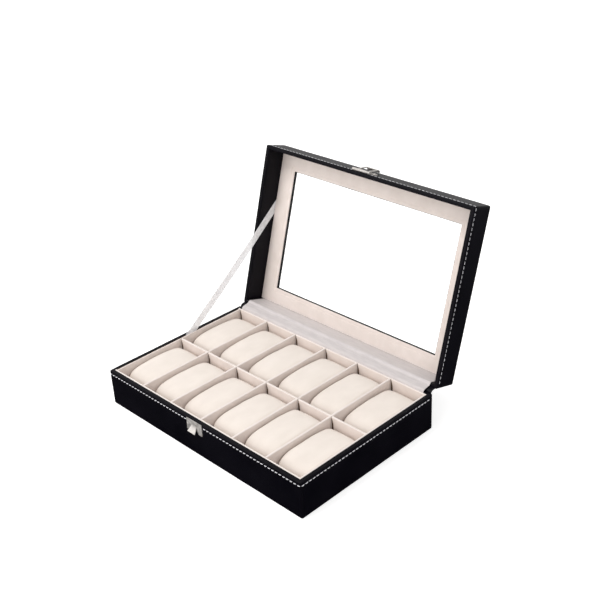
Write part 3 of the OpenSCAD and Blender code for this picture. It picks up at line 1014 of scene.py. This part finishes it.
def build_satin(satin):
    low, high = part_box("hinge_satin")
    tuck_z = low.z
    y = BOARD_IN.y - 0.2 * MM
    lid_y = PANEL_HIGH.y + 0.2 * MM
    points = [(y, tuck_z), (y, BASE_H - 3 * MM), (y, BASE_H), (y + 0.6 * MM, BASE_H + 1.8 * MM)]
    points += [(y + 2.2 * MM, BASE_H + 3.1 * MM), (y + 5.6 * MM, BASE_H + 3.7 * MM)]
    points += [(y + 8.8 * MM, BASE_H + 4.2 * MM), (y + 10.8 * MM, BASE_H + 5 * MM)]
    points += [opened(lid_y, RIM_Z + 0.8 * MM), opened(lid_y, RIM_Z + 6 * MM)]
    points += [opened(lid_y, RIM_Z + 15 * MM), opened(lid_y, PANEL_HIGH.z - 0.3 * MM)]
    path = smooth_path(points, 0.9 * MM)

    def wrinkles(x, part):
        free = math.exp(-(((part - 0.42) / 0.17) ** 2))
        long = noise.noise(Vector((x * 9, part * 16, 0)))
        fine = noise.noise(Vector((x * 20, part * 45, 4)))
        return free * (0.3 * long + 0.06 * fine) * MM

    across = across_stations(high.x, 2.5 * MM, 0.5 * MM)
    piece = strip("satin_strip", path, across, CLOTH_T, wrinkles)
    finish_piece(piece, satin, None, ["hinge_satin"])
    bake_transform(piece)


RIBBON_W = 10 * MM
# Where the ribbon leaves the base's rim, and the panel of the shut lid
RIBBON_BASE_Y = 16 * MM
RIBBON_LID_Y = -23 * MM
# Points across the ribbon's face: (place from the middle, share of the thickness)
RIBBON_FACE = ((-1, 0.6), (-0.93, 1.15), (-0.86, 0.8), (-0.4, 0.8), (0, 0.8))


def build_ribbon(ribbon):
    low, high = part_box("stay_ribbon")
    x = (low.x + high.x) / 2
    base_at = Vector((RIBBON_BASE_Y, BASE_H))
    lid_at = Vector(opened(RIBBON_LID_Y, PANEL_LOW.z))
    run = (lid_at - base_at).normalized()
    side = Vector((-run.y, run.x))
    # The lid's end is cut along the panel, so both its corners end behind the panel
    along = Vector(opened(0, PANEL_LOW.z)) - lid_at
    out = Vector((-along.y, along.x))
    skew = -side.dot(out) / run.dot(out)
    # The tails run on behind the lining and behind the panel
    start = base_at - run * 6 * MM
    stop = lid_at + run * 1.5 * MM
    count = 150
    loops = []
    half = RIBBON_W / 2
    profile = [*RIBBON_FACE, *((-place, share) for place, share in RIBBON_FACE[-2::-1])]
    for i in range(count + 1):
        part = i / count
        middle = start + (stop - start) * part
        free = math.sin(math.pi * part)
        sag = -1.2 * MM * free
        bow = 0.5 * MM * free * noise.noise(Vector((part * 5, 0, 2)))
        loop = []
        for sign in (1, -1):
            row = []
            for place, share in profile:
                at = middle + side * (place * half + sag) + run * (skew * place * half * part)
                curl = 0.25 * MM * free * place * place
                row.append((x + bow + curl + sign * share * CLOTH_T / 2, at.x, at.y))
            loop += row if sign > 0 else row[::-1]
        loops.append(np.array(loop))
    piece = loft("ribbon_strip", loops, sharp=70)
    finish_piece(piece, ribbon, None, ["stay_ribbon"])
    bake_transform(piece)


# ---------------------------------------------------------------- pillows

# How far a pillow's middle stands over its sides, and how much the filling may swell it
PILLOW_CROWN = 0.5 * MM
PILLOW_SWELL = 1.2 * MM
# How far a pillow's top falls towards its back end
PILLOW_SAG = 2.8 * MM
# Rows of a pillow from its side face inwards: (distance from the side, drop of the outline)
PILLOW_CAP = ((-0.6, 15), (-0.5, 11.5), (-0.3, 8.3))
PILLOW_SEAM = (0.0, 6.0)
PILLOW_EDGE = ((0.15, 4.2), (0.6, 2.5), (1.4, 1.2), (2.6, 0.5), (4.4, 0.1), (7, 0))


def pillow_profile(half_l, half_h, count):
    """An even row of (y, z) points round a pillow's end: a deep round front, a flat top,
    a tight upper back edge and a flatter underside."""
    middle = 0.12 * half_l
    raw = []
    for angle in np.linspace(0, 2 * math.pi, 721):
        c, s = math.cos(angle), math.sin(angle)
        reach = half_l - middle if c > 0 else half_l + middle
        power = 4.0 if s < 0 else 5.0 if c > 0 else 3.5
        y = middle + reach * math.copysign(abs(c) ** (2 / power), c)
        raw.append((y, half_h * math.copysign(abs(s) ** (2 / power), s)))
    raw = np.array(raw)
    along = np.concatenate([[0], np.cumsum(np.linalg.norm(np.diff(raw, axis=0), axis=1))])
    places = np.linspace(0, along[-1], count + 1)[:-1]
    return np.stack([np.interp(places, along, raw[:, i]) for i in (0, 1)], 1)


def pillow_mesh(name, centre, half, slope, seed):
    """A pillow before it is filled: a tube of velour with rounded sides and two end caps."""
    count = 76
    side = [*PILLOW_CAP, PILLOW_SEAM, *PILLOW_EDGE]
    rows = [(place * MM - half[0], drop * MM) for place, drop in side]
    inner = half[0] - PILLOW_EDGE[-1][0] * MM
    middles = spread(-inner, inner, 5 * MM)
    rows += [(x, PILLOW_CROWN * ((x / inner) ** 2 - 1)) for x in middles]
    rows += [(half[0] - place * MM, drop * MM) for place, drop in reversed(side)]
    loops = []
    for x, drop in rows:
        loop = []
        for y, z in pillow_profile(half[1] - drop, half[2] - drop, count):
            lift = slope * y / half[1] - PILLOW_SAG * max(y / half[1], 0) ** 2 if z > 0 else 0
            point = Vector((x, y, z + lift))
            point += 0.35 * MM * noise.noise_vector(point / (16 * MM) + Vector((seed, 0, 0)))
            loop.append(centre + point)
        loops.append(np.array(loop))
    first = len(PILLOW_CAP) * count
    last = (len(rows) - len(PILLOW_CAP) - 1) * count
    seam = [*range(first, first + count), *range(last, last + count)]
    return loft(name, loops, sharp=180), seam


def fill_pillows(pillows):
    """Blows all pillows up together as cloth, held at their seams."""
    for pillow, seam in pillows:
        group = pillow.vertex_groups.new(name="seam")
        group.add(seam, 1.0, "REPLACE")
        cloth = pillow.modifiers.new("cloth", "CLOTH")
        settings = cloth.settings
        settings.quality = 6
        settings.mass = 0.15
        settings.tension_stiffness = 18
        settings.compression_stiffness = 18
        settings.shear_stiffness = 8
        settings.bending_stiffness = 0.6
        settings.use_pressure = True
        settings.uniform_pressure_force = 4
        settings.vertex_group_mass = "seam"
        settings.pin_stiffness = 1
        settings.effector_weights.gravity = 0
    for step in range(1, 21):
        scene.frame_set(step)
    graph = bpy.context.evaluated_depsgraph_get()
    for pillow, _ in pillows:
        filled = np.array([v.co for v in pillow.evaluated_get(graph).data.vertices])
        start = np.array([v.co for v in pillow.data.vertices])
        move = filled - start
        far = np.maximum(np.linalg.norm(move, axis=1), 1e-9)
        move *= np.minimum(1, PILLOW_SWELL / far)[:, None]
        pillow.modifiers.clear()
        pillow.vertex_groups.clear()
        pillow.data.vertices.foreach_set("co", (start + move).ravel())
        pillow.data.update()
    scene.frame_set(1)


def build_pillows(velour):
    pillows = []
    for number in range(1, 13):
        node = f"pillow_{number:02d}"
        low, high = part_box(node)
        centre = (low + high) / 2
        half = (high - low) / 2
        own = noise.noise(Vector((number * 3.7, 1.3, 0)))
        other = noise.noise(Vector((number * 2.9, 8.1, 0)))
        drop = 1.2 * own * MM
        size = (half.x - 0.4 * MM, half.y - 0.4 * MM, half.z - 0.4 * MM + drop / 2)
        centre.z = low.z + size[2] + 0.4 * MM
        pillow, seam = pillow_mesh(node + "_cover", centre, size, 0.8 * MM * other, number)
        pillows.append((pillow, seam))
    fill_pillows(pillows)
    for number, (pillow, seam) in enumerate(pillows, 1):
        node = f"pillow_{number:02d}"
        rest_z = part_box(node)[0].z
        normals = [vertex.normal.copy() for vertex in pillow.data.vertices]
        for index in seam:
            pillow.data.vertices[index].co -= normals[index] * 0.55 * MM
        for vertex in pillow.data.vertices:
            vertex.co.z = max(vertex.co.z, rest_z)
        rounding = pillow.modifiers.new("rounding", "SUBSURF")
        rounding.levels = 1
        rounding.render_levels = 1
        finish_piece(pillow, velour, node, [node])


# ---------------------------------------------------------------- CAD nodes that stay


def soften(node, width, segments=2):
    """Breaks the sharp edges of a CAD node that stays."""
    bevel = frame["nodes"][node].modifiers.new("edges", "BEVEL")
    bevel.width = width
    bevel.segments = segments
    bevel.limit_method = "ANGLE"
    bevel.angle_limit = math.radians(35)


def dress(node, material):
    data = frame["nodes"][node].data
    data.materials.clear()
    data.materials.append(material)


def build_floor():
    size = 12
    bm = bmesh.new()
    bmesh.ops.create_grid(bm, x_segments=8, y_segments=8, size=size / 2)
    mesh = bpy.data.meshes.new("floor")
    bm.to_mesh(mesh)
    bm.free()
    floor = bpy.data.objects.new("floor", mesh)
    floor.location.z = -0.1 * MM
    floor.visible_glossy = False
    scene.collection.objects.link(floor)
    paper = Material("floor_paper", Roughness=1.0, Specular_IOR_Level=0.0)
    paper.set(
        Base_Color=paper.blend(paper.noise(0.4, 2), (0.9, 0.9, 0.9), (0.92, 0.92, 0.92)),
        Emission_Color=(1, 1, 1),
        Emission_Strength=0.55,
    )
    mesh.materials.append(paper.data)


build_camera()
build_light()
build_floor()

leather = leather_material("black_leather", (0.0014, 0.0011, 0.003), (0.0034, 0.0028, 0.0056), 0.3)
velour = velour_material(
    "velour", (0.755, 0.67, 0.62), (0.84, 0.755, 0.71), 0.2, (1, 0.96, 0.93), 0.5
)
pillow_velour = velour_material(
    "pillow_velour", (0.80, 0.73, 0.67), (0.87, 0.80, 0.74), 0.2, (1, 0.97, 0.94)
)
satin = satin_material("satin", (0.58, 0.54, 0.54), (0.66, 0.615, 0.61), (0.06, 1, 1), 0.36)
ribbon = satin_material(
    "ribbon", (0.92, 0.92, 0.94), (0.97, 0.97, 0.98), (1, 0.1, 0.1), 0.42, sheer=0.32
)
nickel = nickel_material()
thread = thread_material()
board = board_material("board", (0.36, 0.25, 0.16), (0.62, 0.48, 0.34))
# A darker board colour for the sheets in the slots: painted shade.
slot_shade_board = board_material("slot_shade_board", (0.10, 0.060, 0.040), (0.19, 0.12, 0.085))

build_base_skin(leather)
build_lid_skin(leather)
build_stitches(thread)
build_linings(velour)
lap_height = (CELL_Z + DIVIDER_Z) / 2
build_dividers(velour, lap_height)
build_slots(slot_shade_board, lap_height)
slab(
    "floor_card",
    *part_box("lining_floor"),
    0.3 * MM,
    velour,
    "velour",
    "lining_floor",
    "base",
    0.2 * MM,
)
felt = slab(
    "felt_sheet",
    *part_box("underside_sheet"),
    0.2 * MM,
    felt_material(),
    "underside_felt",
    "underside_sheet",
    "base",
    0.0,
)
build_panel(velour)
build_hinge_leather(leather)
build_satin(satin)
build_ribbon(ribbon)
build_pillows(pillow_velour)

for node in frame["nodes"]:
    if node.endswith("_board") or node == "lid_top_frame":
        dress(node, board)
        if not node.endswith("floor_board"):
            soften(node, 0.6 * MM)
for node, width in (
    ("catch_plate", 0.18 * MM),
    ("catch_nails", 0.1 * MM),
    ("hasp_plate", 0.18 * MM),
    ("hasp_nails", 0.1 * MM),
    ("hasp_pin", 0.15 * MM),
    ("hasp_flap", 0.18 * MM),
):
    dress(node, nickel)
    soften(node, width)
dress("window_glass", glass_material())
